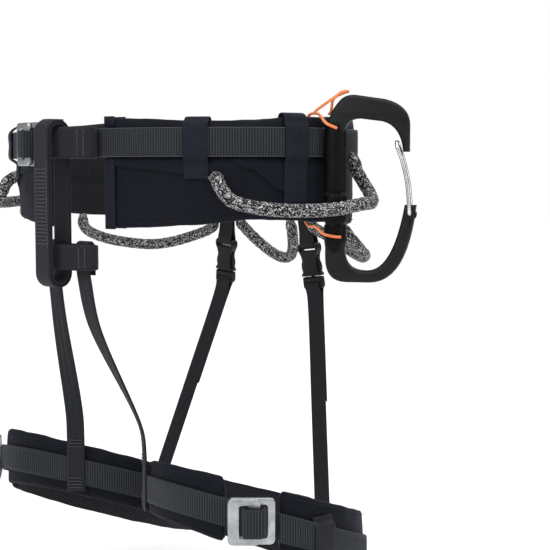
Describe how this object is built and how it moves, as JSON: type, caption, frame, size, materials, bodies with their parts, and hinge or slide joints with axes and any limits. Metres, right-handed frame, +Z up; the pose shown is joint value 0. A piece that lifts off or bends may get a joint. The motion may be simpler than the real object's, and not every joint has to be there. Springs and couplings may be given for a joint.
{
  "type": "climbing harness",
  "caption": "Padded climbing harness with belay loop, adjustable leg loops, gear loops, clip-on rear risers and a wire-gate tool carrier on the left hip.",
  "frame": {"origin": "centre of the waist opening, at the waist belt's mid-height", "axes": "+Z up the wearer's spine, -Y to the wearer's front, +X to the wearer's left"},
  "size_m": [0.3893, 0.2656, 0.3719],
  "materials": {
    "shell_fabric": "matte woven shell",
    "pad_mesh": "spacer mesh lining",
    "ribbed_webbing": "ribbed polyester webbing",
    "tape": "flat binding tape",
    "tie_in_webbing": "dense load webbing",
    "elastic_webbing": "elastic webbing",
    "loop_sleeve": "speckled knitted sleeve over plastic tube",
    "black_plastic": "moulded, fine texture",
    "buckle_metal": "satin anodised",
    "gate_steel": "bright stainless wire",
    "orange_elastic": "braided elastic cord"
  },
  "bodies": {
    "root": {"waist_shell": "shell_fabric", "waist_foam": "pad_mesh", "waist_webbing": "ribbed_webbing", "waist_webbing_tail": "ribbed_webbing", "waist_buckle_frame": "buckle_metal", "tie_in_ring_upper": "tie_in_webbing", "tie_in_ring_lower": "tie_in_webbing", "carrier_elastic_cord": "orange_elastic", "carrier_elastic_loop": "orange_elastic", "waist_keeper_front_left": "tape", "waist_keeper_hip_left": "tape", "bridge_strap_left": "tie_in_webbing", "leg_pad_left": "shell_fabric", "leg_webbing_left": "ribbed_webbing", "leg_webbing_tail_left": "ribbed_webbing", "leg_keeper_left": "tape", "leg_buckle_frame_left": "buckle_metal", "riser_strap_upper_left": "elastic_webbing", "riser_buckle_socket_left": "black_plastic", "riser_strap_lower_left": "elastic_webbing", "waist_keeper_front_right": "tape", "waist_keeper_hip_right": "tape", "bridge_strap_right": "tie_in_webbing", "leg_pad_right": "shell_fabric", "leg_webbing_right": "ribbed_webbing", "leg_webbing_tail_right": "ribbed_webbing", "leg_keeper_right": "tape", "leg_buckle_frame_right": "buckle_metal", "riser_strap_upper_right": "elastic_webbing", "riser_buckle_socket_right": "black_plastic", "riser_strap_lower_right": "elastic_webbing"},
    "carrier": {"carrier_body": "black_plastic"},
    "gate": {"carrier_gate": "gate_steel"},
    "belay_loop": {"belay_loop": "tie_in_webbing"},
    "gear_loop_back": {"gear_loop_back": "loop_sleeve"},
    "waist_plate": {"waist_buckle_plate": "buckle_metal"},
    "gear_loop_front_left": {"gear_loop_front_left": "loop_sleeve"},
    "gear_loop_rear_left": {"gear_loop_rear_left": "loop_sleeve"},
    "leg_plate_left": {"leg_buckle_plate_left": "buckle_metal"},
    "plug_left": {"riser_buckle_plug_left": "black_plastic"},
    "button_left_a": {"riser_buckle_button_left_a": "black_plastic"},
    "button_left_b": {"riser_buckle_button_left_b": "black_plastic"},
    "gear_loop_front_right": {"gear_loop_front_right": "loop_sleeve"},
    "gear_loop_rear_right": {"gear_loop_rear_right": "loop_sleeve"},
    "leg_plate_right": {"leg_buckle_plate_right": "buckle_metal"},
    "plug_right": {"riser_buckle_plug_right": "black_plastic"},
    "button_right_a": {"riser_buckle_button_right_a": "black_plastic"},
    "button_right_b": {"riser_buckle_button_right_b": "black_plastic"}
  },
  "joints": [
    {"name": "carrier_swivel", "type": "hinge", "parent": "root", "child": "carrier", "pos_m": [0.1605, -0.0085, 0], "axis": [0, 0, 1], "range_deg": [-15, 15], "deforming": ["carrier_elastic_cord", "carrier_elastic_loop"]},
    {"name": "gate_swing", "type": "hinge", "parent": "carrier", "child": "gate", "pos_m": [0.20554, 0.01647, -0.03], "axis": [0.4848, -0.8746, 0], "range_deg": [0, 20], "stiffness_Nm_per_rad": 0.3, "springref_deg": -20.05},
    {"name": "belay_loop_swing", "type": "hinge", "parent": "root", "child": "belay_loop", "pos_m": [0, -0.1245, 0.03], "axis": [1, 0, 0], "range_deg": [-2, 2]},
    {"name": "gear_loop_back_lift", "type": "hinge", "parent": "root", "child": "gear_loop_back", "pos_m": [0, 0.1001, -0.048], "axis": [1, 0, 0], "range_deg": [0, 40]},
    {"name": "gear_loop_front_left_lift", "type": "hinge", "parent": "root", "child": "gear_loop_front_left", "pos_m": [0.11182, -0.07676, -0.0015], "axis": [-0.3666, -0.9282, -0.0642], "range_deg": [0, 30]},
    {"name": "gear_loop_rear_left_lift", "type": "hinge", "parent": "root", "child": "gear_loop_rear_left", "pos_m": [0.05551, 0.09495, -0.0479], "axis": [0.7742, -0.6325, 0.0237], "range_deg": [0, 40]},
    {"name": "leg_plate_left_tilt", "type": "hinge", "parent": "root", "child": "leg_plate_left", "pos_m": [0.12918, -0.08436, -0.2358], "axis": [0, 0, -1], "range_deg": [0, 35]},
    {"name": "riser_left_release", "type": "slide", "parent": "root", "child": "plug_left", "axis": [0.1128, 0.0785, -0.9905], "range_m": [0, 0.015], "deforming": ["riser_strap_lower_left"]},
    {"name": "button_left_a_press", "type": "slide", "parent": "plug_left", "child": "button_left_a", "axis": [-0.9936, 0, -0.1131], "range_m": [0, 0.0014], "stiffness_N_per_m": 400, "springref_m": -0.0008},
    {"name": "button_left_b_press", "type": "slide", "parent": "plug_left", "child": "button_left_b", "axis": [0.9936, 0, 0.1131], "range_m": [0, 0.0014], "stiffness_N_per_m": 400, "springref_m": -0.0008},
    {"name": "gear_loop_front_right_lift", "type": "hinge", "parent": "root", "child": "gear_loop_front_right", "pos_m": [-0.11182, -0.07676, -0.0015], "axis": [-0.3666, 0.9282, 0.0642], "range_deg": [0, 30]},
    {"name": "gear_loop_rear_right_lift", "type": "hinge", "parent": "root", "child": "gear_loop_rear_right", "pos_m": [-0.05551, 0.09495, -0.0479], "axis": [0.7742, 0.6325, -0.0237], "range_deg": [0, 40]},
    {"name": "leg_plate_right_tilt", "type": "hinge", "parent": "root", "child": "leg_plate_right", "pos_m": [-0.12918, -0.08436, -0.2358], "axis": [0, 0, 1], "range_deg": [0, 35]},
    {"name": "riser_right_release", "type": "slide", "parent": "root", "child": "plug_right", "axis": [-0.1128, 0.0785, -0.9905], "range_m": [0, 0.015], "deforming": ["riser_strap_lower_right"]},
    {"name": "button_right_a_press", "type": "slide", "parent": "plug_right", "child": "button_right_a", "axis": [-0.9936, 0, 0.1131], "range_m": [0, 0.0014], "stiffness_N_per_m": 400, "springref_m": -0.0008},
    {"name": "button_right_b_press", "type": "slide", "parent": "plug_right", "child": "button_right_b", "axis": [0.9936, 0, -0.1131], "range_m": [0, 0.0014], "stiffness_N_per_m": 400, "springref_m": -0.0008},
    {"name": "waist_plate_tilt", "type": "hinge", "parent": "root", "child": "waist_plate", "pos_m": [-0.06835, -0.10077, 0.019], "axis": [0, 0, -1], "range_deg": [0, 35]}
  ],
  "couplings": [
    {"joint": "button_left_b_press", "follows": "button_left_a_press", "ratio": 1},
    {"joint": "button_right_b_press", "follows": "button_right_a_press", "ratio": 1}
  ]
}
